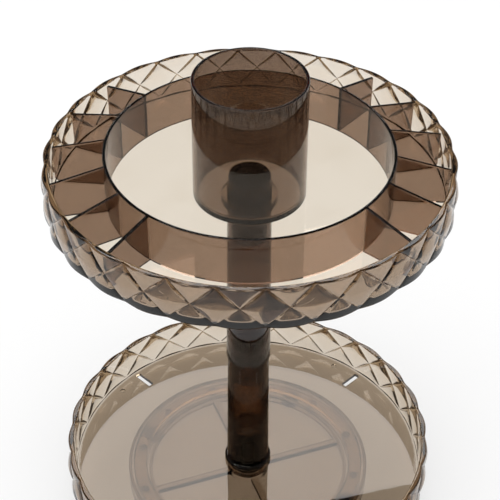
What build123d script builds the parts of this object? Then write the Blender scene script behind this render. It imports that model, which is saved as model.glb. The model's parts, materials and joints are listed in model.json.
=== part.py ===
from build123d import *
from math import cos, radians, sin
import os

# Two-tier rotating make-up organizer in smoked plastic.  Millimetres, +Z up.
# Origin: centre of the base, on the surface that the feet stand on.

# ---- Trays (both tiers share one faceted drum) ----
FACETS = 28                 # diamonds round each tray
TRAY_RIM_R = 120.0          # radius at the upper corners of the diamonds
CROSSING_BULGE = 1.4        # where four diamonds meet, at half height, outside that radius
FOOT_SPREAD = 0.8           # the lower corners of the diamonds, outside that radius
DIAMOND_RELIEF = 1.5        # how far a diamond's peak stands out of its crossings
HALF_RELIEF = 1.5           # the same for the half diamonds at rim and foot
TRAY_H = 27.8
FOOT_BAND_H = 1.8           # plain band under the diamonds
FOOT_BAND_TAPER = 0.99      # the band draws in to this share of its radius
TRAY_WALL_T = 2.4           # at the thinnest place of the rim
TRAY_DRAFT = 0.6            # the cavity is this much narrower at the floor
TRAY_RIM_ROUND = 0.8        # inner edge of the rim
TRAY_FLOOR_T = 2.6
FLOOR_FILLET = 2.0
TIER_PITCH = 228.0          # from one tray to the next

# ---- Bottom tray ----
BOTTOM_TURN = -3.8          # resting angle of the lower tier, degrees
BOTTOM_FACET_TURN = -3.0    # diamonds against the slots
SLOT_COUNT = 4
SLOT_FIRST_ANGLE = 45.0
SLOT_L = 15.0
SLOT_W = 4.0
SLOT_FROM_WALL = 3.3        # from a slot's outer end to the wall, at the floor
DIMPLE_R = 1.8
DIMPLE_DEPTH = 1.0
DIMPLE_FROM_WALL = 6.8      # from a dimple's middle to the wall
DIMPLE_FROM_SLOT = 9.8      # degrees
BOSS_R = 13.0               # boss under the bottom tray's centre

# ---- Turntable base ----
BASE_TURN = 16.3            # resting angle of the base, degrees
BASE_R = 82.0
BASE_T = 2.4
CHANNEL_W = 16.0            # over both walls of the ball channel
CHANNEL_WALL_T = 2.0
CHANNEL_INNER_H = 4.9       # the inner wall, above the plate
CHANNEL_OUTER_H = 8.6       # the outer wall hides the balls from the side
RIB_COUNT = 4
RIB_W = 5.0
RIB_H = 3.2
HUB_R = 14.0
HUB_H = 7.6                 # above the plate
HUB_POCKET_R = 11.0         # pocket under the hub for screw head and washer
HUB_POCKET_H = 5.0          # above the plate's underside
BALL_COUNT = 12
BALL_R = 3.0
CAGE_W = 9.0
CAGE_T = 2.4
RACE_W = 9.0
RACE_H = 3.8
FOOT_COUNT = 4
FOOT_R = 6.0
FOOT_H = 2.0                # how far a foot stands out of the plate
FOOT_SEAT = 0.6             # how deep it sits in the plate

# ---- Pivot ----
PIVOT_R = 6.0
PIVOT_HEAD_R = 8.5
PIVOT_HEAD_H = 3.0
PIVOT_THREAD_R = 4.0
PIVOT_THREAD_L = 20.0
PIVOT_KEY_R = 2.9           # corner radius of the hexagon in the head
PIVOT_KEY_DEPTH = 1.8
PIVOT_WASHER_R = 10.0
PIVOT_WASHER_T = 0.6

# ---- Column ----
COLLAR_R = 15.6
COLLAR_H = 4.6
COLLAR_ROUND = 1.9          # both edges of the collar
NECK_R = 13.3
NECK_H = 3.4
SOCKET_SPIGOT_L = 24.0
SOCKET_PEG_R = 2.0
SOCKET_PEG_CIRCLE_R = 10.0
LOWER_TUBE_L = 88.5
LOWER_TUBE_FOOT_R = 14.1
LOWER_TUBE_TOP_R = 13.4
UPPER_TUBE_FOOT_R = 14.3
UPPER_TUBE_TOP_R = 13.5
TUBE_BORE_R = 11.3
COUPLER_L = 36.0
COUPLER_BORE_R = 8.0
JOURNAL_R = 9.0
JOURNAL_FLANGE_R = 13.4
JOURNAL_FLANGE_T = 3.0
JOURNAL_SPIGOT_L = 22.0
STUD_R = 6.0
STUD_L = 8.5
THRUST_WASHER_T = 1.0
TOP_HUB_R = 17.0            # boss under the top tray's centre
TOP_HUB_H = 5.0
CAP_R = 12.7
CAP_H = 12.0
CAP_ROUND = 3.0
CAP_FLANGE_R = 13.6
CAP_FLANGE_T = 1.8

# ---- Top tray's fittings ----
RING_R = 86.1
RING_T = 2.0
RING_RISE = 6.0             # the ring stands this far above the tray's rim
RING_RIM_ROUND = 0.8
DIVIDER_T = 2.2
DIVIDER_ROUND = 0.9         # both edges along a divider's top
DIVIDER_STEP = 18.0         # degrees between neighbouring dividers
DIVIDERS_PER_SIDE = 6
DIVIDER_DROP = 1.4          # top edge below the rim where it meets the wall
CUP_R = 33.8
CUP_H = 79.2
CUP_WALL_T = 2.0
CUP_FLOOR_T = 2.0
CUP_INNER_FILLET = 3.0
CUP_RIM_ROUND = 0.85
CUP_PEG_COUNT = 3
CUP_PEG_R = 2.0
CUP_PEG_CIRCLE_R = 22.0
PEG_L = 2.0                 # pegs reach this far into a tray's floor

# ---- Clearances ----
RUNNING_FIT = 0.05          # radial, journal and pivot in their bores
PLAY = 0.3                  # between faces that turn past each other
BALL_PLAY = 0.1             # above and below each ball
CAGE_PLAY = 0.15            # round each ball in its cage
SEAT_FIT = 0.1              # pegs, spigots and plates in their seats

# ---- Levels worked out from the stack ----
plate_bottom_z = FOOT_H
plate_top_z = plate_bottom_z + BASE_T
ball_z = plate_top_z + BALL_PLAY + BALL_R
race_bottom_z = ball_z + BALL_R + BALL_PLAY
bottom_tray_z = race_bottom_z + RACE_H
bottom_floor_z = bottom_tray_z + TRAY_FLOOR_T
top_tray_z = bottom_tray_z + TIER_PITCH
top_floor_z = top_tray_z + TRAY_FLOOR_T
top_rim_z = top_tray_z + TRAY_H
ring_top_z = top_rim_z + RING_RISE
hub_top_z = plate_top_z + HUB_H
boss_bottom_z = hub_top_z + PLAY
pocket_top_z = plate_bottom_z + HUB_POCKET_H
pivot_head_top_z = pocket_top_z - PLAY / 2 - PIVOT_WASHER_T
neck_top_z = bottom_floor_z + COLLAR_H + NECK_H
tube_joint_z = neck_top_z + LOWER_TUBE_L
washer_top_z = top_tray_z - TOP_HUB_H
flange_top_z = washer_top_z - THRUST_WASHER_T
upper_tube_top_z = flange_top_z - JOURNAL_FLANGE_T
cup_floor_z = top_floor_z + CUP_FLOOR_T
cap_bottom_z = cup_floor_z + PLAY
cavity_rim_r = TRAY_RIM_R - TRAY_WALL_T
cavity_floor_r = cavity_rim_r - TRAY_DRAFT
slot_middle_r = cavity_floor_r - SLOT_FROM_WALL - SLOT_L / 2
dimple_circle_r = cavity_floor_r - DIMPLE_FROM_WALL
channel_in_r = BASE_R - CHANNEL_W
ball_circle_r = BASE_R - CHANNEL_W / 2
spigot_r = TUBE_BORE_R - SEAT_FIT

nodes = {}


def keep(name, solid):
    """Store one finished piece under its node name."""
    solid.label = name
    nodes[name] = solid


def disc(r, z_low, z_high):
    """An upright cylinder between two levels."""
    return Pos(0, 0, z_low) * Cylinder(r, z_high - z_low, align=(Align.CENTER, Align.CENTER, Align.MIN))


def taper(r_low, r_high, z_low, z_high):
    """An upright frustum between two levels."""
    return Pos(0, 0, z_low) * Cone(r_low, r_high, z_high - z_low, align=(Align.CENTER, Align.CENTER, Align.MIN))


def washer(r_in, r_out, z_low, z_high):
    """A flat ring between two levels."""
    return disc(r_out, z_low, z_high) - disc(r_in, z_low, z_high)


def on_circle(shape, r, count, first=0.0):
    """Copies of a shape, each moved out to a radius and turned round the axis."""
    step = 360.0 / count
    return [Rot(0, 0, first + i * step) * Pos(r, 0, 0) * shape for i in range(count)]


def edges_at(shape, z):
    """The edges of a shape that lie in one level."""
    return [e for e in shape.edges() if abs(e.center().Z - z) < 1e-4 and e.bounding_box().size.Z < 1e-4]


# ---- The faceted drum ----

def drum_ring(z, r_corner, r_between):
    """Corners round the drum at one level: diamond axes and crossings take turns."""
    half_step = 180.0 / FACETS
    radii = [r_corner if i % 2 == 0 else r_between for i in range(2 * FACETS)]
    angles = [radians(i * half_step) for i in range(2 * FACETS)]
    return [Vector(r * cos(a), r * sin(a), z) for r, a in zip(radii, angles)]


def flat_face(*corners):
    return Face(Wire.make_polygon(corners, close=True))


def faceted_drum(z):
    """A solid drum whose side is a row of raised diamonds between two rows of half diamonds."""
    foot_z = z + FOOT_BAND_H
    mid_z = (foot_z + z + TRAY_H) / 2
    crossing_r = TRAY_RIM_R + CROSSING_BULGE
    foot_r = TRAY_RIM_R + FOOT_SPREAD
    foot = drum_ring(foot_z, foot_r, foot_r + HALF_RELIEF)
    mid = drum_ring(mid_z, crossing_r + DIAMOND_RELIEF, crossing_r)
    rim = drum_ring(z + TRAY_H, TRAY_RIM_R, TRAY_RIM_R + HALF_RELIEF)
    base = [Vector(p.X * FOOT_BAND_TAPER, p.Y * FOOT_BAND_TAPER, z) for p in foot]
    faces = [flat_face(*rim), flat_face(*reversed(base))]
    for i in range(2 * FACETS):
        j = (i + 1) % (2 * FACETS)
        axis, cross = (i, j) if i % 2 == 0 else (j, i)
        faces.append(flat_face(base[i], base[j], foot[j], foot[i]))
        faces.append(flat_face(foot[axis], mid[cross], mid[axis]))
        faces.append(flat_face(foot[axis], foot[cross], mid[cross]))
        faces.append(flat_face(mid[axis], mid[cross], rim[axis]))
        faces.append(flat_face(mid[cross], rim[cross], rim[axis]))
    return Solid(Shell(faces))


def tray_shell(z):
    """The drum hollowed from above, with a round corner between wall and floor."""
    floor_z = z + TRAY_FLOOR_T
    spare = 1.0
    slope = TRAY_DRAFT / (TRAY_H - TRAY_FLOOR_T)
    cavity = taper(cavity_floor_r, cavity_rim_r + slope * spare, floor_z, z + TRAY_H + spare)
    cavity = fillet(edges_at(cavity, floor_z), FLOOR_FILLET)
    tray = faceted_drum(z) - cavity
    rim_edge = [e for e in edges_at(tray, z + TRAY_H) if e.geom_type == GeomType.CIRCLE]
    return fillet(rim_edge, TRAY_RIM_ROUND)


# ---- Turntable base ----

def make_base():
    plate = disc(BASE_R, plate_bottom_z, plate_top_z)
    inner_top_z = plate_top_z + CHANNEL_INNER_H
    outer_top_z = plate_top_z + CHANNEL_OUTER_H
    plate += washer(BASE_R - CHANNEL_WALL_T, BASE_R, plate_top_z, outer_top_z)
    plate += washer(channel_in_r, channel_in_r + CHANNEL_WALL_T, plate_top_z, inner_top_z)
    plate += disc(HUB_R, plate_top_z, hub_top_z)
    rib_l = channel_in_r - HUB_R + CHANNEL_WALL_T
    rib = Pos(rib_l / 2, 0, plate_top_z) * Box(
        rib_l, RIB_W, RIB_H, align=(Align.CENTER, Align.CENTER, Align.MIN))
    rib = fillet(rib.edges().filter_by(Axis.X).group_by(Axis.Z)[-1], RIB_W / 5)
    for placed in on_circle(rib, HUB_R - CHANNEL_WALL_T / 2, RIB_COUNT):
        plate += placed
    plate -= disc(HUB_POCKET_R, plate_bottom_z, pocket_top_z)
    plate -= disc(PIVOT_R + RUNNING_FIT, pocket_top_z, hub_top_z)
    seat = disc(FOOT_R + SEAT_FIT, plate_bottom_z, plate_bottom_z + FOOT_SEAT)
    half_step = 180.0 / FOOT_COUNT
    for placed in on_circle(seat, ball_circle_r, FOOT_COUNT, half_step):
        plate -= placed
    plate = chamfer(edges_at(plate, inner_top_z) + edges_at(plate, outer_top_z), CHANNEL_WALL_T / 5)
    keep("base_plate", Rot(0, 0, BASE_TURN) * plate)

    foot = disc(FOOT_R, 0, plate_bottom_z + FOOT_SEAT)
    foot = fillet(edges_at(foot, 0), FOOT_SEAT)
    for i, placed in enumerate(on_circle(foot, ball_circle_r, FOOT_COUNT, half_step + BASE_TURN)):
        keep(f"foot_{i + 1}", placed)


def make_bearing():
    ball = Pos(0, 0, ball_z) * Sphere(BALL_R)
    keep("bearing_balls", Compound(children=on_circle(ball, ball_circle_r, BALL_COUNT, BASE_TURN)))

    low, high = ball_z - CAGE_T / 2, ball_z + CAGE_T / 2
    cage = washer(ball_circle_r - CAGE_W / 2, ball_circle_r + CAGE_W / 2, low, high)
    hole = disc(BALL_R + CAGE_PLAY, low, high)
    for placed in on_circle(hole, ball_circle_r, BALL_COUNT, BASE_TURN):
        cage -= placed
    keep("ball_cage", cage)

    race = washer(ball_circle_r - RACE_W / 2, ball_circle_r + RACE_W / 2, race_bottom_z, bottom_tray_z)
    race = chamfer(edges_at(race, race_bottom_z), RACE_W / 12)
    keep("upper_race", race)


def make_pivot():
    """Shoulder screw up through the hub, the tray and the column's socket."""
    head_bottom_z = pivot_head_top_z - PIVOT_HEAD_H
    head = disc(PIVOT_HEAD_R, head_bottom_z, pivot_head_top_z)
    head = chamfer(edges_at(head, head_bottom_z), PIVOT_HEAD_H / 6)
    screw = head + disc(PIVOT_R, pivot_head_top_z, boss_bottom_z)
    screw += disc(PIVOT_THREAD_R, boss_bottom_z, bottom_floor_z + PIVOT_THREAD_L)
    key = Pos(0, 0, head_bottom_z) * extrude(RegularPolygon(PIVOT_KEY_R, 6), PIVOT_KEY_DEPTH)
    keep("pivot_screw", screw - key)
    keep("pivot_washer", washer(PIVOT_R + SEAT_FIT, PIVOT_WASHER_R,
                                pivot_head_top_z, pivot_head_top_z + PIVOT_WASHER_T))


# ---- Bottom tray and column ----

def make_bottom_tray():
    tray = Rot(0, 0, BOTTOM_FACET_TURN) * tray_shell(bottom_tray_z)
    tray += disc(BOSS_R, boss_bottom_z, bottom_tray_z)
    tray -= disc(PIVOT_THREAD_R + SEAT_FIT, boss_bottom_z, bottom_floor_z)
    slot = Pos(0, 0, bottom_tray_z) * Box(
        SLOT_L, SLOT_W, TRAY_FLOOR_T, align=(Align.CENTER, Align.CENTER, Align.MIN))
    for placed in on_circle(slot, slot_middle_r, SLOT_COUNT, SLOT_FIRST_ANGLE):
        tray -= placed
    dimple = disc(DIMPLE_R, bottom_floor_z - DIMPLE_DEPTH, bottom_floor_z)
    for placed in on_circle(dimple, dimple_circle_r, SLOT_COUNT, SLOT_FIRST_ANGLE + DIMPLE_FROM_SLOT):
        tray -= placed
    peg_hole = disc(SOCKET_PEG_R + SEAT_FIT, bottom_floor_z - PEG_L - SEAT_FIT, bottom_floor_z)
    for placed in on_circle(peg_hole, SOCKET_PEG_CIRCLE_R, 2):
        tray -= placed
    keep("bottom_tray", Rot(0, 0, BOTTOM_TURN) * tray)


def make_column():
    collar_top_z = bottom_floor_z + COLLAR_H
    collar = disc(COLLAR_R, bottom_floor_z, collar_top_z)
    collar = fillet(edges_at(collar, bottom_floor_z) + edges_at(collar, collar_top_z), COLLAR_ROUND)
    socket = collar + disc(NECK_R, collar_top_z, neck_top_z)
    socket += disc(spigot_r, neck_top_z, neck_top_z + SOCKET_SPIGOT_L)
    socket -= disc(PIVOT_THREAD_R + SEAT_FIT, bottom_floor_z, bottom_floor_z + PIVOT_THREAD_L + PLAY)
    peg = disc(SOCKET_PEG_R, bottom_floor_z - PEG_L, bottom_floor_z)
    for placed in on_circle(peg, SOCKET_PEG_CIRCLE_R, 2):
        socket += placed
    keep("column_socket", Rot(0, 0, BOTTOM_TURN) * socket)

    lower = taper(LOWER_TUBE_FOOT_R, LOWER_TUBE_TOP_R, neck_top_z, tube_joint_z)
    keep("lower_tube", lower - disc(TUBE_BORE_R, neck_top_z, tube_joint_z))
    upper = taper(UPPER_TUBE_FOOT_R, UPPER_TUBE_TOP_R, tube_joint_z, upper_tube_top_z)
    upper -= disc(TUBE_BORE_R, tube_joint_z, upper_tube_top_z)
    keep("upper_tube", upper)
    keep("tube_coupler", washer(COUPLER_BORE_R, spigot_r, tube_joint_z - COUPLER_L / 2,
                                tube_joint_z + COUPLER_L / 2))

    journal = disc(spigot_r, upper_tube_top_z - JOURNAL_SPIGOT_L, upper_tube_top_z)
    journal += disc(JOURNAL_FLANGE_R, upper_tube_top_z, flange_top_z)
    journal += disc(JOURNAL_R, flange_top_z, cap_bottom_z)
    journal += disc(STUD_R, cap_bottom_z, cap_bottom_z + STUD_L)
    keep("column_journal", journal)
    keep("thrust_washer", washer(JOURNAL_R + SEAT_FIT, JOURNAL_FLANGE_R, flange_top_z, washer_top_z))

    cap_top_z = cap_bottom_z + CAP_H
    body = disc(CAP_R, cap_bottom_z, cap_top_z)
    body = fillet(edges_at(body, cap_top_z), CAP_ROUND)
    flange_top = cap_bottom_z + CAP_FLANGE_T
    flange = disc(CAP_FLANGE_R, cap_bottom_z, flange_top)
    flange = fillet(edges_at(flange, flange_top), CAP_FLANGE_T / 4)
    cap = body + flange - disc(STUD_R + SEAT_FIT, cap_bottom_z, cap_bottom_z + STUD_L + PLAY)
    keep("column_cap", cap)


# ---- Top tray and its fittings ----

def make_top_tray():
    tray = tray_shell(top_tray_z) + disc(TOP_HUB_R, washer_top_z, top_tray_z)
    tray -= disc(JOURNAL_R + RUNNING_FIT, washer_top_z, top_floor_z)
    peg_hole = disc(CUP_PEG_R + SEAT_FIT, top_floor_z - PEG_L - SEAT_FIT, top_floor_z)
    for placed in on_circle(peg_hole, CUP_PEG_CIRCLE_R, CUP_PEG_COUNT):
        tray -= placed
    keep("top_tray", tray)


def make_ring():
    ring = washer(RING_R - RING_T, RING_R, top_floor_z, ring_top_z)
    ring = fillet(edges_at(ring, ring_top_z), RING_RIM_ROUND)
    keep("inner_ring", ring)


def make_dividers():
    """Plates that slope from the ring's rim down to the tray's rim, six on each side."""
    inner_x = RING_R + SEAT_FIT
    wall_top_z = top_rim_z - DIVIDER_DROP
    floor_x = cavity_floor_r - SEAT_FIT
    rim_x = cavity_rim_r - SEAT_FIT - TRAY_DRAFT * DIVIDER_DROP / (TRAY_H - TRAY_FLOOR_T)
    relief = FLOOR_FILLET + SEAT_FIT
    outline = Polyline(
        (inner_x, top_floor_z),
        (floor_x - relief, top_floor_z),
        (floor_x, top_floor_z + relief),
        (rim_x, wall_top_z),
        (inner_x, ring_top_z),
        close=True)
    plate = extrude(Plane.XZ * make_face(outline), DIVIDER_T / 2, both=True)
    sloped = [e for e in plate.edges() if e.bounding_box().size.Z > 0 and e.bounding_box().size.X > DIVIDER_T]
    plate = fillet([e for e in sloped if e.center().Z > wall_top_z], DIVIDER_ROUND)
    half_span = DIVIDER_STEP * (DIVIDERS_PER_SIDE - 1) / 2
    number = 0
    for side in (0.0, 180.0):
        for i in range(DIVIDERS_PER_SIDE):
            number += 1
            keep(f"divider_{number:02d}", Rot(0, 0, side - half_span + i * DIVIDER_STEP) * plate)


def make_cup():
    top_z = top_floor_z + CUP_H
    outer = disc(CUP_R, top_floor_z, top_z)
    inner_r = CUP_R - CUP_WALL_T
    inner = disc(inner_r, cup_floor_z, top_z)
    inner = fillet(edges_at(inner, cup_floor_z), CUP_INNER_FILLET)
    cup = outer - inner
    cup = fillet(edges_at(cup, top_z), CUP_RIM_ROUND)
    cup -= disc(JOURNAL_R + RUNNING_FIT, top_floor_z, cup_floor_z)
    peg = disc(CUP_PEG_R, top_floor_z - PEG_L, top_floor_z)
    for placed in on_circle(peg, CUP_PEG_CIRCLE_R, CUP_PEG_COUNT):
        cup += placed
    keep("brush_cup", cup)


make_base()
make_bearing()
make_pivot()
make_bottom_tray()
make_column()
make_top_tray()
make_ring()
make_dividers()
make_cup()

os.makedirs("parts", exist_ok=True)
for name, solid in nodes.items():
    export_step(solid, f"parts/{name}.step")
    print(name, len(solid.solids()), round(solid.volume))
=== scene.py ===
import json
import math

import bmesh
import bpy
from bpy.props import FloatProperty, FloatVectorProperty, IntProperty, PointerProperty
from bpy.types import Operator, Panel, PropertyGroup
from mathutils import Matrix, Vector


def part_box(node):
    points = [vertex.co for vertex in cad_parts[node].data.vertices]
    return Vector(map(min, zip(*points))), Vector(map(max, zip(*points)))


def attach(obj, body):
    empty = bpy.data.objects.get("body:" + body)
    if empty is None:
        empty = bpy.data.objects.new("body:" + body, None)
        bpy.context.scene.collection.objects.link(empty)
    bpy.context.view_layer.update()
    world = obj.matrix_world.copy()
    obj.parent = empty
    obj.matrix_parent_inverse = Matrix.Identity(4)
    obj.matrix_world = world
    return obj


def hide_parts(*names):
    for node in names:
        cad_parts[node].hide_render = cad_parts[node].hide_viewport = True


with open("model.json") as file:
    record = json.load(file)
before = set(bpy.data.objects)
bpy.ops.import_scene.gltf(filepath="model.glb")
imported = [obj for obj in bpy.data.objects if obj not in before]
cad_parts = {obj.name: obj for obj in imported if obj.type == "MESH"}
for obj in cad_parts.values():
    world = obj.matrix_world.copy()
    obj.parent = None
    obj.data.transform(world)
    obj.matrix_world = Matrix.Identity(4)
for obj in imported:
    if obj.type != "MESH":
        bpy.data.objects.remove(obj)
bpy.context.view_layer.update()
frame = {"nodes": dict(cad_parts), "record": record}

bl_info = {
    "name": "Rotating Make-up Organizer",
    "version": (1, 0, 0),
    "blender": (4, 5, 0),
    "location": "3D View > Sidebar > Organizer",
    "description": "Dresses the two-tier organizer in smoked plastic and sets up a white studio",
    "category": "Object",
}

# The CAD pieces and the heights that the new pieces are built to.
NODES = frame["nodes"]
BODY_OF = {node: body for body, nodes in frame["record"]["behaviour"]["bodies"].items() for node in nodes}
DIVIDERS = sorted(n for n in NODES if n.startswith("divider_"))
FEET = sorted(n for n in NODES if n.startswith("foot_"))
COLUMN = ("column_socket", "lower_tube", "upper_tube", "tube_coupler", "column_journal", "column_cap")
RIM_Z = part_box("top_tray")[1].z
RING_TOP_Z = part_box("inner_ring")[1].z
FLOOR_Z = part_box("inner_ring")[0].z
BOTTOM_RIM_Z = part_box("bottom_tray")[1].z

# Meshing. Faces that meet at more than SHARP keep a sharp edge. EDGE_MATCH is in half diamonds.
SHARP = math.radians(24)
ROUND_SEGMENTS = 5
SLOT_SEGMENTS = 3
DIMPLE_SEGMENTS = 24
FLOOR_SEGMENTS = 64
TURN_STEPS = 128
RING_STEPS = 256
MERGE_DISTANCE = 1e-7
EDGE_MATCH = 0.01

# Surfaces. One tint passes into the next over twice TINT_BLEND. The cup wall's painted shade starts a small
# margin inside the wall.
TINT_BLEND = 0.001
CUP_SHADE_MARGIN = 0.0005
FLOW_NOISE = {"Detail": 2.0, "Roughness": 0.5, "Distortion": 0.4}
FLOW_RANGE = {"From Min": 0.42, "From Max": 0.75}
WIPED_NOISE = {"Scale": 14.0, "Detail": 4.0, "Roughness": 0.6}
WIPED_RANGE = {"From Min": 0.5, "From Max": 0.8}
WAVE_NOISE = {"Scale": 45.0, "Detail": 1.0}
WAVE_STRENGTH = 0.6
DENSITY_OVER_ABSORPTION = 1.25
WORN_OVER_SMOOTH = 1.4
WHITE = (1, 1, 1, 1)

RUBBER = {"colour": (0.07, 0.065, 0.06), "shade": (0.8, 0.8, 0.78), "roughness": 0.7}
STEEL = {"colour": (0.55, 0.53, 0.52), "shade": (0.9, 0.9, 0.9), "roughness": 0.12, "metallic": 1}
ZINC = {"colour": (0.62, 0.62, 0.64), "shade": (0.84, 0.84, 0.86), "roughness": 0.35, "metallic": 1}

LAMPS = (
    {"name": "back_softbox", "size": (1.6, 0.82), "place": (0.2, 3.0, 3.122), "aim": (0.2, 0, 3.122),
     "radiance": 3.3, "roll": 13.3},
    {"name": "top_softbox", "size": (1.2, 1.2), "place": (-0.3, -0.2, 2.0), "aim": (0, 0, 0.2),
     "radiance": 1.2},
    {"name": "side_softbox", "size": (0.5, 1.4), "place": (-2.0, -1.0, 1.1), "aim": (0, 0, 0.2),
     "radiance": 1.5},
)


# ---- Settings ----

def length(name, description, default):
    return FloatProperty(name=name, description=description, unit="LENGTH", precision=5, default=default)


def degrees(name, description, default):
    return FloatProperty(name=name, description=description, default=default)


def surface_colour(name, description, default):
    return FloatVectorProperty(name=name, description=description, subtype="COLOR", size=3, min=0, max=1,
                               default=default)


def depth_absorption(name, description, default):
    """Light that a metre of the plastic takes out, as red, green and blue."""
    return FloatVectorProperty(name=name, description=description, size=3, min=0, default=default)


class TraySettings(PropertyGroup):
    facets: IntProperty(name="Diamonds", description="Diamonds round each tray", min=8, default=28)
    cells: IntProperty(name="Cells", description="Mesh cells across half a diamond", min=4, default=14)
    rim_r: length("Rim Radius", "Radius at the upper corners of the diamonds", 0.12)
    bulge: length("Bulge", "Where four diamonds meet, outside the rim radius", 0.0014)
    spread: length("Foot Spread", "Lower corners of the diamonds, outside the rim radius", 0.0008)
    relief: length("Relief", "Height of a diamond above its edges", 0.00149)
    pillow: FloatProperty(name="Pillow", description="How full the diamonds are, lower is fuller",
                          min=0.3, max=2, default=0.7)
    groove: length("Groove", "Depth of the fine groove between the diamonds", 0.0004)
    height: length("Height", "Height of the wall over the underside", 0.0278)
    band: length("Foot Band", "Height of the plain band under the diamonds", 0.0018)
    band_taper: FloatProperty(name="Band Taper", description="Share of its radius that the band draws in to",
                              min=0.9, max=1, default=0.99)
    wall: length("Wall", "Thickness of the rim at its thinnest", 0.0024)
    draft: length("Draft", "How much narrower the inside is at the floor", 0.0006)
    floor: length("Floor", "Thickness of the floor", 0.0026)
    fillet: length("Fillet", "Round corner between wall and floor", 0.002)
    rim_round: length("Rim Rounding", "Rounding of the rim's inner edge", 0.0008)
    seat: length("Seat Gap", "Air between the tray and the pieces that touch it", 0.00005)
    top_hub_r: length("Top Hub", "Radius of the boss under the top tray", 0.017)
    top_bore_r: length("Top Bore", "Radius of the hole in the top tray and the cup", 0.00905)
    boss_r: length("Bottom Boss", "Radius of the boss under the bottom tray", 0.013)
    bottom_bore_r: length("Bottom Bore", "Radius of the hole in the bottom tray", 0.0041)
    bottom_turn: degrees("Bottom Turn", "Resting angle of the lower tier, degrees", -3.8)
    bottom_facet_turn: degrees("Bottom Facet Turn", "Diamonds against the slots, degrees", -3.0)
    slots: IntProperty(name="Slots", description="Slots in the bottom tray", min=1, default=4)
    slot_turn: degrees("Slot Turn", "Degrees from +X to the first slot, before Bottom Turn", 45)
    slot_l: length("Slot Length", "Length of a slot in the bottom tray", 0.015)
    slot_w: length("Slot Width", "Width of a slot in the bottom tray", 0.004)
    slot_r: length("Slot Radius", "Radius of the slots' middles", 0.1062)
    dimple: length("Dimple", "Radius of a dimple in the bottom tray", 0.0018)
    dimple_r: length("Dimple Circle", "Radius of the dimples' circle", 0.1102)
    dimple_turn: degrees("Dimple Turn", "Degrees from a slot to its dimple", 9.8)


class FittingSettings(PropertyGroup):
    ring_r: length("Ring Radius", "Outer radius of the inner ring", 0.0861)
    ring_wall: length("Ring Wall", "Thickness of the inner ring", 0.002)
    divider_t: length("Divider Thickness", "Thickness of a divider", 0.0022)
    divider_step: degrees("Divider Step", "Degrees between neighbouring dividers", 18.0)
    divider_drop: length("Divider Drop", "Top edge below the rim where it meets the wall", 0.0014)
    edge: length("Edge Rounding", "Rounding of the top edges", 0.0009)
    cup_r: length("Cup Radius", "Outer radius of the brush cup", 0.0338)
    cup_wall: length("Cup Wall", "Thickness of the cup's wall and floor", 0.002)
    cup_fillet: length("Cup Fillet", "Round corner inside the cup", 0.003)
    seat: length("Seat Gap", "Air between pieces that seat on each other", 0.00005)


class SmokedPlasticSettings(PropertyGroup):
    tint: surface_colour(
        "Surface Tint", "Colour that the clear plastic's surface lets through", (0.99, 0.985, 0.975))
    top_floor_tint: surface_colour("Top Floor Tint", "Tint of the top tray's floor", (0.92, 0.86, 0.77))
    top_wall_tint: surface_colour(
        "Top Wall Tint", "Tint of the top tray's faceted wall", (0.93, 0.89, 0.84))
    # Partly the plastic's tint, partly painted shade: far darker than the top floor, for the shadow seen
    # through the bottom tray's floor.
    bottom_floor_tint_and_shade: surface_colour(
        "Bottom Floor Tint and Shade", "Tint of the bottom tray's floor, with painted shade", (0.40, 0.32, 0.24))
    bottom_wall_tint: surface_colour(
        "Bottom Wall Tint", "Tint of the bottom tray's faceted wall", (0.90, 0.85, 0.79))
    # Painted shade: darkens the trays' diamonds where a ray enters the plastic through them.
    painted_facet_shade: surface_colour(
        "Painted Facet Shade", "Painted shade where light enters a tray through its diamonds", (0.28, 0.225, 0.195))
    # Painted shade: the cup's wall is made far darker than its floor, which is the same plastic.
    cup_wall_painted_shade: surface_colour("Cup Wall Painted Shade", "Painted shade on the brush cup's wall", (0.165, 0.115, 0.09))
    race_tint: surface_colour(
        "Race Tint", "Tint of the ring that runs in the ball channel", (0.86, 0.83, 0.82))
    acetal_tint: surface_colour(
        "Acetal Tint", "Tint of the ball cage and the thrust washer", (0.84, 0.81, 0.79))
    flow_shade: surface_colour(
        "Flow Shade", "Further tint in the faint flow streaks of the moulding", (0.965, 0.955, 0.94))
    tray_absorption: depth_absorption(
        "Tray Absorption", "Light that a metre of tray plastic takes out", (30, 42, 60))
    insert_absorption: depth_absorption(
        "Insert Absorption", "Light that a metre of the ring and the dividers takes out", (500, 660, 790))
    cup_absorption: depth_absorption(
        "Cup Absorption", "Light that a metre of the cup's plastic takes out", (15, 35, 60))
    column_absorption: depth_absorption(
        "Column Absorption", "Light that a metre of the column's plastic takes out", (420, 560, 700))
    base_absorption: depth_absorption(
        "Base Absorption", "Light that a metre of the turntable base takes out", (100, 130, 160))
    column_specular: FloatProperty(
        name="Column Reflection", description="Strength of the column's reflections",
        min=0, max=1, default=0.3)
    roughness: FloatProperty(
        name="Roughness", description="Roughness of the polished moulding", min=0, max=1, default=0.0)
    wear_roughness: FloatProperty(
        name="Wiped Roughness", description="Roughness where fingers and cloths have touched it",
        min=0, max=1, default=0.02)
    wave_height: length("Mould Waves", "Depth of the faint waves in the moulding", 0.00001)
    ior: FloatProperty(
        name="Refractive Index", description="Refractive index of the plastic", min=1, max=2, default=1.5)


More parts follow.
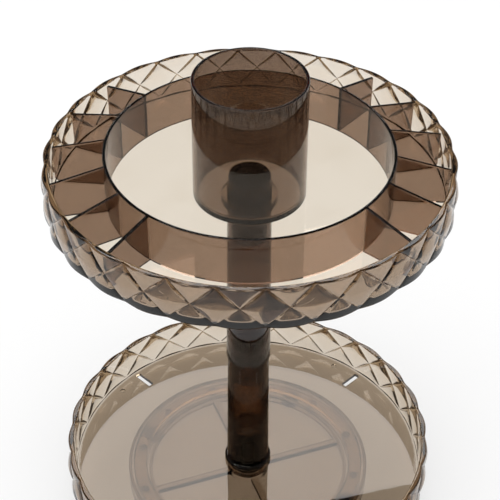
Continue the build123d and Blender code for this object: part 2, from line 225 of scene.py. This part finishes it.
class StudioSettings(PropertyGroup):
    lens: FloatProperty(name="Lens", description="Focal length", unit="CAMERA", default=109.185)
    camera_place: FloatVectorProperty(
        name="Camera", description="Where the camera stands", subtype="TRANSLATION", unit="LENGTH", size=3,
        default=(-0.05323, -0.72234, 0.78628))
    camera_turn: FloatVectorProperty(
        name="Camera Angles", description="Degrees below the horizon, from +Y towards +X, and of roll",
        size=3, default=(39.009, 4.2552, 0.4334))
    ambient: FloatProperty(
        name="Ambient Light", description="Strength of the white surroundings as light", min=0, default=0.95)
    backdrop_heights: FloatVectorProperty(
        name="Backdrop", size=2, default=(0.02, 0.2),
        description="Where the white backdrop starts and ends to fade, as sines of the elevation")
    overhead: FloatProperty(
        name="Overhead", description="Brightness overhead, as clear and polished pieces see it",
        min=0, default=0.10)
    floor_colour: surface_colour("Floor", "Colour of the studio floor", (0.96, 0.96, 0.96))
    floor_glow: FloatProperty(
        name="Floor Whiteness", description="Share of plain white that the camera and clear pieces see in it",
        min=0, max=1, default=0.6)
    floor_radius: length("Floor Radius", "Radius of the studio floor", 6.0)


# ---- Shader nodes ----

def add(tree, kind, **settings):
    """A node with the given properties; numbered or named inputs are set through the 'inputs' dictionary."""
    node = tree.nodes.new(kind)
    for key, value in settings.pop("inputs", {}).items():
        node.inputs[key].default_value = value
    for key, value in settings.items():
        setattr(node, key, value)
    return node


def live(sockets, name):
    """The socket of that name that the node's present mode uses."""
    return next(s for s in sockets if s.name == name and s.enabled)


def calculated(tree, operation, *sockets, **settings):
    """The result of a sum, a comparison or the like on one or two sockets."""
    node = add(tree, "ShaderNodeMath", operation=operation, **settings)
    for value, socket in zip(node.inputs, sockets):
        tree.links.new(socket, value)
    return node.outputs["Value"]


def ranged(tree, socket, limits):
    """The socket's value, brought from one range into another."""
    node = add(tree, "ShaderNodeMapRange", inputs=limits)
    tree.links.new(socket, node.inputs["Value"])
    return node.outputs["Result"]


def mixed(tree, factor, first, second, **settings):
    """A mix of two colours or values, by the factor."""
    node = add(tree, "ShaderNodeMix", **settings)
    for name, socket in (("Factor", factor), ("A", first), ("B", second)):
        tree.links.new(socket, live(node.inputs, name))
    return live(node.outputs, "Result")


def mixed_shaders(tree, factor, first, second):
    """The first shader where the factor is 0 and the second where it is 1."""
    node = add(tree, "ShaderNodeMixShader")
    tree.links.new(factor, node.inputs["Fac"])
    tree.links.new(first, node.inputs[1])
    tree.links.new(second, node.inputs[2])
    return node.outputs["Shader"]


def noise(tree, place, inputs):
    """A noise texture that is read at the given place."""
    node = add(tree, "ShaderNodeTexNoise", inputs=inputs)
    tree.links.new(place, node.inputs["Vector"])
    return node


# ---- Shader group ----

def new_group(name, inputs, outputs):
    """An empty shader node group with named sockets; returns its tree, input node and output node."""
    tree = bpy.data.node_groups.new(name, "ShaderNodeTree")
    for label, kind, default in inputs:
        socket = tree.interface.new_socket(label, in_out="INPUT", socket_type=kind)
        if default is not None:
            socket.default_value = default
    for label, kind in outputs:
        tree.interface.new_socket(label, in_out="OUTPUT", socket_type=kind)
    return tree, tree.nodes.new("NodeGroupInput"), tree.nodes.new("NodeGroupOutput")


def polished_moulding_group():
    """What every finish shares: one tint near the axis and another farther out, which hold painted shade on
    the bottom tray's floor and the cup's wall, painted shade where light enters through the diamonds, and
    faint flow streaks, wiped patches and mould waviness."""
    name = "Polished Moulding"
    if name in bpy.data.node_groups:
        return bpy.data.node_groups[name]
    tree, source, sink = new_group(
        name,
        [("Tint", "NodeSocketColor", None), ("Outer Tint and Shade", "NodeSocketColor", None),
         ("Outer Radius", "NodeSocketFloat", 1.0), ("Painted Facing Shade", "NodeSocketColor", None),
         ("Facet Radius", "NodeSocketFloat", 1.0), ("Away", "NodeSocketFloat", 0.0),
         ("Flow Shade", "NodeSocketColor", None),
         ("Smooth", "NodeSocketFloat", 0.02), ("Wiped", "NodeSocketFloat", 0.08),
         ("Streak Scale", "NodeSocketFloat", 30.0)],
        [("Colour", "NodeSocketColor"), ("Roughness", "NodeSocketFloat"), ("Height", "NodeSocketFloat")])
    link = tree.links.new
    given = source.outputs
    place = add(tree, "ShaderNodeTexCoord").outputs["Object"]
    flat = add(tree, "ShaderNodeVectorMath", operation="MULTIPLY", inputs={1: (1, 1, 0)})
    link(place, flat.inputs[0])
    from_axis = add(tree, "ShaderNodeVectorMath", operation="LENGTH")
    link(flat.outputs["Vector"], from_axis.inputs[0])
    radius = from_axis.outputs["Value"]

    beyond = calculated(tree, "SUBTRACT", radius, given["Outer Radius"])
    outer = ranged(tree, beyond, {"From Min": -TINT_BLEND, "From Max": TINT_BLEND})
    # On the bottom tray's floor and the cup's wall these tints hold painted shade.
    tint = mixed(tree, outer, given["Tint"], given["Outer Tint and Shade"], data_type="RGBA")
    # Painted shade on the diamonds, where the ray enters the plastic rather than leaving it.
    facets = calculated(tree, "GREATER_THAN", radius, given["Facet Radius"])
    painted_shade_mask = calculated(tree, "SUBTRACT", facets, given["Away"], use_clamp=True)
    with_painted_shade = mixed(tree, painted_shade_mask, tint, given["Painted Facing Shade"], data_type="RGBA", blend_type="MULTIPLY")
    flow = noise(tree, place, FLOW_NOISE)
    link(given["Streak Scale"], flow.inputs["Scale"])
    streaks = ranged(tree, flow.outputs["Fac"], FLOW_RANGE)
    colour = mixed(tree, streaks, with_painted_shade, given["Flow Shade"], data_type="RGBA", blend_type="MULTIPLY")
    link(colour, sink.inputs["Colour"])

    patches = ranged(tree, noise(tree, place, WIPED_NOISE).outputs["Fac"], WIPED_RANGE)
    link(mixed(tree, patches, given["Smooth"], given["Wiped"], data_type="FLOAT"), sink.inputs["Roughness"])
    link(noise(tree, place, WAVE_NOISE).outputs["Fac"], sink.inputs["Height"])
    return tree


# ---- Materials ----

def blank_material(name):
    material = bpy.data.materials.new(name)
    material.use_nodes = True
    tree = material.node_tree
    tree.nodes.clear()
    output = tree.nodes.new("ShaderNodeOutputMaterial")
    shader = tree.nodes.new("ShaderNodeBsdfPrincipled")
    tree.links.new(shader.outputs["BSDF"], output.inputs["Surface"])
    return material, tree, shader, output


def surface(tree, shader, tint, outer_tint_and_shade, flow_shade, values):
    """Gives the shader its colour and roughness from the shared group, whose other inputs are the values."""
    group = add(tree, "ShaderNodeGroup", node_tree=polished_moulding_group())
    for name, colour in (("Tint", tint), ("Outer Tint and Shade", outer_tint_and_shade), ("Flow Shade", flow_shade)):
        group.inputs[name].default_value = (*colour, 1)
    for name, value in values.items():
        group.inputs[name].default_value = value
    tree.links.new(group.outputs["Colour"], shader.inputs["Base Color"])
    tree.links.new(group.outputs["Roughness"], shader.inputs["Roughness"])
    return group


def smoked_plastic(name, absorption, tint=None, outer_tint_and_shade=None, outer_radius=1.0, facet_radius=1.0,
                   specular=0.5):
    """Clear brown plastic: its depth takes out the light, and its surface tints it too, with painted shade on
    the diamonds where a ray enters them.
    """
    if name in bpy.data.materials:
        return bpy.data.materials[name]
    settings = bpy.context.scene.organizer_plastic
    material, tree, shader, output = blank_material(name)
    shader.inputs["Transmission Weight"].default_value = 1.0
    shader.inputs["IOR"].default_value = settings.ior
    shader.inputs["Specular IOR Level"].default_value = specular
    group = surface(tree, shader, tint or settings.tint, outer_tint_and_shade or settings.tint, settings.flow_shade, {
        "Outer Radius": outer_radius, "Facet Radius": facet_radius,
        "Painted Facing Shade": (*settings.painted_facet_shade, 1),
        "Smooth": settings.roughness, "Wiped": settings.wear_roughness})
    # Backfacing keeps the painted shade off where a ray leaves the plastic.
    side = add(tree, "ShaderNodeNewGeometry")
    tree.links.new(side.outputs["Backfacing"], group.inputs["Away"])
    bump = add(tree, "ShaderNodeBump", inputs={"Strength": WAVE_STRENGTH, "Distance": settings.wave_height})
    tree.links.new(group.outputs["Height"], bump.inputs["Height"])
    tree.links.new(bump.outputs["Normal"], shader.inputs["Normal"])
    density = max(absorption) * DENSITY_OVER_ABSORPTION
    depth = add(tree, "ShaderNodeVolumeAbsorption", inputs={
        "Density": density, "Color": (*(1 - a / density for a in absorption), 1)})
    tree.links.new(depth.outputs["Volume"], output.inputs["Volume"])
    return material


def tray_plastic(context, name, floor_tint_and_shade, wall_tint):
    """The trays' plastic, with one tint for the floor and another for the wall, and painted shade on the
    diamonds.
    """
    tray = context.scene.organizer_tray
    inner_r = tray.rim_r - tray.wall
    return smoked_plastic(name, context.scene.organizer_plastic.tray_absorption, tint=floor_tint_and_shade,
                          outer_tint_and_shade=wall_tint, outer_radius=inner_r - 2 * tray.draft,
                          facet_radius=inner_r + tray.wall / 2)


def opaque(name, colour, shade, roughness, metallic=0.0, grain=60.0):
    """A solid finish with a fine grain of a second shade."""
    if name in bpy.data.materials:
        return bpy.data.materials[name]
    material, tree, shader, _ = blank_material(name)
    shader.inputs["Metallic"].default_value = metallic
    surface(tree, shader, colour, colour, shade, {
        "Smooth": roughness, "Wiped": min(1, roughness * WORN_OVER_SMOOTH), "Streak Scale": grain})
    return material


def dress(nodes, material):
    """Puts one material on the named CAD pieces."""
    for node in nodes:
        mesh = NODES[node].data
        mesh.materials.clear()
        mesh.materials.append(material)


# ---- Shapes ----

def outline(corners):
    """A bmesh with one closed line in the XZ plane. Corners are (x, z) or (x, z, rounding)."""
    bm = bmesh.new()
    verts = [bm.verts.new((corner[0], 0, corner[1])) for corner in corners]
    bm.faces.new(verts)
    rounded = [(v, corner[2]) for v, corner in zip(verts, corners) if len(corner) > 2]
    for size in sorted({size for _, size in rounded}):
        bmesh.ops.bevel(bm, geom=[v for v, own in rounded if own == size], offset=size, offset_type="OFFSET",
                        segments=ROUND_SEGMENTS, profile=0.5, affect="VERTICES", material=-1)
    return bm


def rounded_edges(bm, edges, size, segments):
    bmesh.ops.bevel(bm, geom=edges, offset=size, segments=segments, profile=0.5, affect="EDGES", material=-1)


def turned(corners, steps=TURN_STEPS):
    """The outline turned once round the Z axis."""
    bm = outline(corners)
    bmesh.ops.delete(bm, geom=bm.faces[:], context="FACES_ONLY")
    bmesh.ops.spin(bm, geom=bm.verts[:] + bm.edges[:], cent=(0, 0, 0), axis=(0, 0, 1), angle=math.tau,
                   steps=steps, use_merge=True)
    bmesh.ops.remove_doubles(bm, verts=bm.verts[:], dist=MERGE_DISTANCE)
    bmesh.ops.recalc_face_normals(bm, faces=bm.faces[:])
    return bm


def rotated(bm, angle):
    """Turns the whole bmesh about the Z axis."""
    bmesh.ops.rotate(bm, verts=bm.verts[:], matrix=Matrix.Rotation(angle, 3, "Z"))


def shade_into(mesh, bm):
    """Writes the bmesh into a mesh, smooth but for its sharp edges."""
    for face in bm.faces:
        face.smooth = True
    for edge in bm.edges:
        edge.smooth = edge.is_manifold and edge.calc_face_angle() < SHARP
    bm.to_mesh(mesh)
    bm.free()


def new_object(name, bm):
    mesh = bpy.data.meshes.new(name)
    shade_into(mesh, bm)
    piece = bpy.data.objects.new(name, mesh)
    bpy.context.scene.collection.objects.link(piece)
    return piece


def stand_for(node, piece, material):
    """The piece takes the place of a CAD node, on its body and in its material slot."""
    piece.data.materials.append(material)
    flat = piece.modifiers.new("weighted_normals", "WEIGHTED_NORMAL")
    flat.keep_sharp = True
    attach(piece, BODY_OF[node])
    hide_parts(node)


def pillow(across, up, settings):
    """Height of the diamonds, 0 to 1, at a place counted in half diamonds from a lower corner."""
    height = 1.0
    for diagonal in (across - up, across + up):
        from_edge = 1 - abs(diagonal % 2 - 1)
        height *= from_edge * (2 - from_edge)
    return height ** settings.pillow


def tray_bmesh(settings, tray_z, hub_r, hub_z, bore_r):
    """A round tray whose wall is a row of raised diamonds between two rows of half diamonds."""
    foot_z, rim_z = tray_z + settings.band, tray_z + settings.height
    floor_z = tray_z + settings.floor - settings.seat
    under_z, hub_z = tray_z + settings.seat, hub_z + settings.seat
    rows = 2 * settings.cells
    row_h = (rim_z - foot_z) / rows
    outer_round = row_h * 0.98
    foot_round = settings.band / 4
    slack = row_h / 100
    inner_r = settings.rim_r - settings.wall
    mid_r = inner_r + settings.wall / 2
    wall = [(settings.rim_r, foot_z + k * row_h) for k in range(rows)]
    bm = turned(wall + [
        (settings.rim_r, rim_z, outer_round), (inner_r, rim_z, settings.rim_round),
        (inner_r - settings.draft, floor_z, settings.fillet), (bore_r, floor_z), (bore_r, hub_z),
        (hub_r, hub_z), (hub_r, under_z), (settings.rim_r * settings.band_taper, under_z, foot_round)],
        steps=settings.facets * rows)
    grooves = []
    for v in bm.verts:
        r = math.hypot(v.co.x, v.co.y)
        in_band = v.co.z < foot_z - slack
        if r < mid_r and not (in_band and r > inner_r):
            continue
        across = math.atan2(v.co.y, v.co.x) / math.tau * settings.facets * 2
        up = min(max((v.co.z - foot_z) / (rim_z - foot_z) * 2, 0), 2)
        valley = settings.bulge * (1 - abs(up - 1)) + settings.spread * max(0, 1 - up)
        lift = settings.relief * pillow(across, up, settings)
        on_edge = any(abs(d - round(d / 2) * 2) < EDGE_MATCH for d in (across - up, across + up))
        if on_edge and not in_band:
            lift -= settings.groove
            grooves.append(v)
        grow = 1 + (valley + lift) / settings.rim_r
        v.co.x *= grow
        v.co.y *= grow
    bmesh.ops.connect_verts(bm, verts=grooves)
    return bm


def slot_cutter(settings, tray_z):
    """Blocks with round corners for the slots of the bottom tray, and a short plug for each dimple."""
    cutter = bmesh.new()
    for i in range(settings.slots):
        turn = math.radians(settings.slot_turn + 360 / settings.slots * i + settings.bottom_turn)
        spot = Matrix.Rotation(turn, 4, "Z") @ Matrix.Translation(
            (settings.slot_r, 0, tray_z + settings.floor / 2))
        bmesh.ops.create_cube(cutter, size=1, matrix=spot @ Matrix.Diagonal(
            (settings.slot_l, settings.slot_w, settings.floor * 2, 1)))
        dimple = Matrix.Rotation(turn + math.radians(settings.dimple_turn), 4, "Z") @ Matrix.Translation(
            (settings.dimple_r, 0, tray_z + settings.floor))
        bmesh.ops.create_cone(cutter, cap_ends=True, segments=DIMPLE_SEGMENTS, radius1=settings.dimple,
                              radius2=settings.dimple, depth=settings.dimple, matrix=dimple)
    upright = [e for e in cutter.edges if abs(e.verts[0].co.z - e.verts[1].co.z) > settings.floor]
    rounded_edges(cutter, upright, settings.slot_w / 6, SLOT_SEGMENTS)
    return cutter


def cut_out(piece, cutter):
    """Cuts one object out of another and removes the cutter."""
    cut = piece.modifiers.new("cut", "BOOLEAN")
    cut.operation = "DIFFERENCE"
    cut.solver = "EXACT"
    cut.object = cutter
    shaped = bpy.data.meshes.new_from_object(piece.evaluated_get(bpy.context.evaluated_depsgraph_get()))
    piece.modifiers.clear()
    plain = piece.data
    piece.data = shaped
    bpy.data.meshes.remove(plain)
    bpy.data.objects.remove(cutter)
    bm = bmesh.new()
    bm.from_mesh(shaped)
    shade_into(shaped, bm)


# ---- Pieces ----

class ORGANIZER_OT_trays(Operator):
    """Both faceted trays"""
    bl_idname = "organizer.trays"
    bl_label = "Trays"

    def execute(self, context):
        settings = context.scene.organizer_tray
        plastic = context.scene.organizer_plastic
        bm = tray_bmesh(settings, RIM_Z - settings.height, settings.top_hub_r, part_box("top_tray")[0].z,
                        settings.top_bore_r)
        stand_for("top_tray", new_object("top_tray_moulding", bm), tray_plastic(
            context, "Smoked Tray Plastic", plastic.top_floor_tint, plastic.top_wall_tint))

        tray_z = BOTTOM_RIM_Z - settings.height
        bm = tray_bmesh(settings, tray_z, settings.boss_r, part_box("bottom_tray")[0].z,
                        settings.bottom_bore_r)
        rotated(bm, math.radians(settings.bottom_turn + settings.bottom_facet_turn))
        tray = new_object("bottom_tray_moulding", bm)
        cut_out(tray, new_object("slots", slot_cutter(settings, tray_z)))
        # The bottom floor's tint is partly painted shade.
        stand_for("bottom_tray", tray, tray_plastic(
            context, "Smoked Lower Tray Plastic", plastic.bottom_floor_tint_and_shade, plastic.bottom_wall_tint))
        return {"FINISHED"}


class ORGANIZER_OT_fittings(Operator):
    """Inner ring and radial dividers of the top tray"""
    bl_idname = "organizer.fittings"
    bl_label = "Ring and Dividers"

    def execute(self, context):
        settings = context.scene.organizer_fittings
        tray = context.scene.organizer_tray
        plastic = smoked_plastic("Smoked Insert Plastic", context.scene.organizer_plastic.insert_absorption)
        low = FLOOR_Z + settings.seat
        inner_r = settings.ring_r - settings.ring_wall
        ring = turned([(inner_r, low), (settings.ring_r, low), (settings.ring_r, RING_TOP_Z, settings.edge),
                       (inner_r, RING_TOP_Z, settings.edge)], steps=RING_STEPS)
        stand_for("inner_ring", new_object("inner_ring_moulding", ring), plastic)

        gap = 2 * settings.seat
        wall_x = tray.rim_r - tray.wall - gap
        floor_x = wall_x - tray.draft
        inner_x = settings.ring_r + gap
        relief = tray.fillet + gap
        long_edge = 2 * settings.divider_t
        top_z = RIM_Z - 2 * settings.divider_drop
        per_side = len(DIVIDERS) // 2
        for i, node in enumerate(DIVIDERS):
            bm = outline([(inner_x, low), (floor_x - relief, low), (floor_x, low + relief),
                          (wall_x, RIM_Z - settings.divider_drop), (inner_x, RING_TOP_Z)])
            grown = bmesh.ops.extrude_face_region(bm, geom=bm.faces[:], use_keep_orig=True)
            bmesh.ops.translate(bm, vec=(0, settings.divider_t, 0),
                                verts=[v for v in grown["geom"] if isinstance(v, bmesh.types.BMVert)])
            bmesh.ops.translate(bm, vec=(0, -settings.divider_t / 2, 0), verts=bm.verts[:])
            bmesh.ops.recalc_face_normals(bm, faces=bm.faces[:])
            top = [e for e in bm.edges if abs(e.verts[0].co.x - e.verts[1].co.x) > long_edge
                   and min(v.co.z for v in e.verts) > top_z]
            rounded_edges(bm, top, settings.edge, ROUND_SEGMENTS)
            side, place = divmod(i, per_side)
            from_middle = place - (per_side - 1) / 2
            rotated(bm, math.pi * side + from_middle * math.radians(settings.divider_step))
            stand_for(node, new_object(f"{node}_moulding", bm), plastic)
        return {"FINISHED"}


class ORGANIZER_OT_cup(Operator):
    """Brush cup"""
    bl_idname = "organizer.cup"
    bl_label = "Brush Cup"

    def execute(self, context):
        settings = context.scene.organizer_fittings
        plastic = context.scene.organizer_plastic
        low, top = FLOOR_Z + settings.seat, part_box("brush_cup")[1].z
        floor_z = FLOOR_Z + settings.cup_wall
        outer_r, inner_r = settings.cup_r, settings.cup_r - settings.cup_wall
        bore_r = context.scene.organizer_tray.top_bore_r
        cup = turned([(bore_r, low), (outer_r, low, settings.edge), (outer_r, top, settings.edge),
                      (inner_r, top, settings.edge), (inner_r, floor_z, settings.cup_fillet),
                      (bore_r, floor_z)])
        # The cup's wall takes painted shade, darker than the cup's floor.
        stand_for("brush_cup", new_object("brush_cup_moulding", cup), smoked_plastic(
            "Smoked Cup Plastic", plastic.cup_absorption, outer_tint_and_shade=plastic.cup_wall_painted_shade,
            outer_radius=inner_r - CUP_SHADE_MARGIN))
        return {"FINISHED"}


class ORGANIZER_OT_column(Operator):
    """Column with its collar and cap"""
    bl_idname = "organizer.column"
    bl_label = "Column"

    def execute(self, context):
        plastic = context.scene.organizer_plastic
        dress(COLUMN, smoked_plastic("Smoked Column Plastic", plastic.column_absorption,
                                     specular=plastic.column_specular))
        return {"FINISHED"}


class ORGANIZER_OT_base(Operator):
    """Turntable base, feet and bearing"""
    bl_idname = "organizer.base"
    bl_label = "Turntable Base"

    def execute(self, context):
        plastic = context.scene.organizer_plastic
        dress(["base_plate"], smoked_plastic("Smoked Base Plastic", plastic.base_absorption))
        dress(["upper_race"], smoked_plastic("Smoked Race Plastic", plastic.tray_absorption,
                                             tint=plastic.race_tint))
        dress(["ball_cage", "thrust_washer"], smoked_plastic("Natural Acetal", plastic.tray_absorption,
                                                             tint=plastic.acetal_tint))
        dress(FEET, opaque("Soft Rubber", **RUBBER))
        dress(["bearing_balls"], opaque("Polished Steel", **STEEL))
        dress(["pivot_screw", "pivot_washer"], opaque("Zinc Plate", **ZINC))
        return {"FINISHED"}


# ---- Stage ----

def softbox(name, size, place, aim, radiance, roll=0.0):
    """A rectangular lamp of an even radiance that faces a point."""
    width, height = size
    light = bpy.data.lights.new(name, "AREA")
    light.shape = "RECTANGLE"
    light.size = width
    light.size_y = height
    light.energy = radiance * math.pi * width * height
    lamp = bpy.data.objects.new(name, light)
    bpy.context.scene.collection.objects.link(lamp)
    lamp.location = place
    facing = (Vector(aim) - Vector(place)).to_track_quat("-Z", "Y").to_matrix()
    lamp.rotation_euler = (facing @ Matrix.Rotation(math.radians(roll), 3, "Z")).to_euler()
    lamp.visible_camera = False
    return lamp


def seen_by(tree, ray_kinds):
    """1 for rays of any of the given kinds, 0 for the rest."""
    paths = add(tree, "ShaderNodeLightPath")
    total = paths.outputs[ray_kinds[0]]
    for kind in ray_kinds[1:]:
        total = calculated(tree, "MAXIMUM", total, paths.outputs[kind])
    return total


def studio_floor(settings):
    """A white floor that takes soft shadows but is close to plain white wherever it is seen."""
    mesh = bpy.data.meshes.new("studio_floor")
    bm = bmesh.new()
    bmesh.ops.create_circle(bm, cap_ends=True, segments=FLOOR_SEGMENTS, radius=settings.floor_radius)
    bm.to_mesh(mesh)
    bm.free()
    floor = bpy.data.objects.new("studio_floor", mesh)
    bpy.context.scene.collection.objects.link(floor)
    material, tree, shader, output = blank_material("studio_floor")
    shader.inputs["Roughness"].default_value = 0.9
    shader.inputs["Specular IOR Level"].default_value = 0.0
    shader.inputs["Base Color"].default_value = (*settings.floor_colour, 1)
    white = add(tree, "ShaderNodeEmission", inputs={"Color": WHITE, "Strength": 1.0})
    seen = seen_by(tree, ("Is Camera Ray", "Is Glossy Ray", "Is Transmission Ray"))
    glow = calculated(tree, "MULTIPLY", seen, inputs={1: settings.floor_glow})
    mix = mixed_shaders(tree, glow, shader.outputs["BSDF"], white.outputs["Emission"])
    tree.links.new(mix, output.inputs["Surface"])
    mesh.materials.append(material)
    return floor


def studio_surroundings(settings):
    """White to the camera; by reflection and through clear pieces, white low down and dim overhead."""
    world = bpy.data.worlds.new("studio")
    bpy.context.scene.world = world
    world.use_nodes = True
    tree = world.node_tree
    tree.nodes.clear()
    output = tree.nodes.new("ShaderNodeOutputWorld")
    direction = add(tree, "ShaderNodeTexCoord")
    height = add(tree, "ShaderNodeSeparateXYZ")
    tree.links.new(direction.outputs["Generated"], height.inputs[0])
    low, high = settings.backdrop_heights
    dome = ranged(tree, height.outputs["Z"], {
        "From Min": low, "From Max": high, "To Min": 1.0, "To Max": settings.overhead})
    white, reflected, light = (
        add(tree, "ShaderNodeBackground", inputs={"Color": WHITE, "Strength": strength})
        for strength in (1.0, 1.0, settings.ambient))
    tree.links.new(dome, reflected.inputs["Strength"])
    through = mixed_shaders(tree, seen_by(tree, ("Is Glossy Ray", "Is Transmission Ray")),
                            light.outputs["Background"], reflected.outputs["Background"])
    direct = mixed_shaders(tree, seen_by(tree, ("Is Camera Ray",)), through, white.outputs["Background"])
    tree.links.new(direct, output.inputs["Surface"])


def studio_camera(settings):
    pitch, heading, roll = (math.radians(a) for a in settings.camera_turn)
    forward = Vector((math.sin(heading) * math.cos(pitch), math.cos(heading) * math.cos(pitch),
                      -math.sin(pitch)))
    level_right = Vector((math.cos(heading), -math.sin(heading), 0))
    level_up = level_right.cross(forward)
    right = math.cos(roll) * level_right + math.sin(roll) * level_up
    up = -math.sin(roll) * level_right + math.cos(roll) * level_up
    camera = bpy.data.objects.new("camera", bpy.data.cameras.new("camera"))
    bpy.context.scene.collection.objects.link(camera)
    camera.data.lens = settings.lens
    camera.data.sensor_width = 36
    camera.data.clip_end = 50
    facing = Matrix((right, up, -forward)).transposed().to_4x4()
    camera.matrix_world = Matrix.Translation(settings.camera_place) @ facing
    bpy.context.scene.camera = camera


class ORGANIZER_OT_stage(Operator):
    """White floor, soft lamps and the camera"""
    bl_idname = "organizer.stage"
    bl_label = "Studio"

    def execute(self, context):
        settings = context.scene.organizer_studio
        floor = studio_floor(settings)
        studio_surroundings(settings)
        lamps = [softbox(**lamp) for lamp in LAMPS]
        studio_camera(settings)
        scene = context.scene
        scene.view_settings.view_transform = "Standard"
        scene.cycles.max_bounces = 24
        scene.cycles.transmission_bounces = 24
        scene.cycles.glossy_bounces = 8
        scene.cycles.diffuse_bounces = 3
        scene.cycles.use_denoising = True
        return {"FINISHED"}


class ORGANIZER_PT_panel(Panel):
    """Sizes, colours and the steps that dress the organizer"""
    bl_idname = "ORGANIZER_PT_panel"
    bl_label = "Make-up Organizer"
    bl_space_type = "VIEW_3D"
    bl_region_type = "UI"
    bl_category = "Organizer"

    def draw(self, context):
        for group in (getattr(context.scene, name) for name in SETTINGS):
            box = self.layout.box()
            for key in group.__annotations__:
                box.prop(group, key)
        for step in STEPS:
            self.layout.operator(step.bl_idname)


SETTINGS = {"organizer_tray": TraySettings, "organizer_fittings": FittingSettings,
            "organizer_plastic": SmokedPlasticSettings, "organizer_studio": StudioSettings}
STEPS = (ORGANIZER_OT_trays, ORGANIZER_OT_fittings, ORGANIZER_OT_cup, ORGANIZER_OT_column,
         ORGANIZER_OT_base, ORGANIZER_OT_stage)


def register():
    for name, group in SETTINGS.items():
        bpy.utils.register_class(group)
        setattr(bpy.types.Scene, name, PointerProperty(type=group))
    for cls in STEPS + (ORGANIZER_PT_panel,):
        bpy.utils.register_class(cls)


def unregister():
    for cls in (ORGANIZER_PT_panel,) + STEPS[::-1]:
        bpy.utils.unregister_class(cls)
    for name, group in SETTINGS.items():
        delattr(bpy.types.Scene, name)
        bpy.utils.unregister_class(group)


def main():
    register()
    for step in STEPS:
        family, name = step.bl_idname.split(".")
        getattr(getattr(bpy.ops, family), name)()


if __name__ == "__main__":
    main()
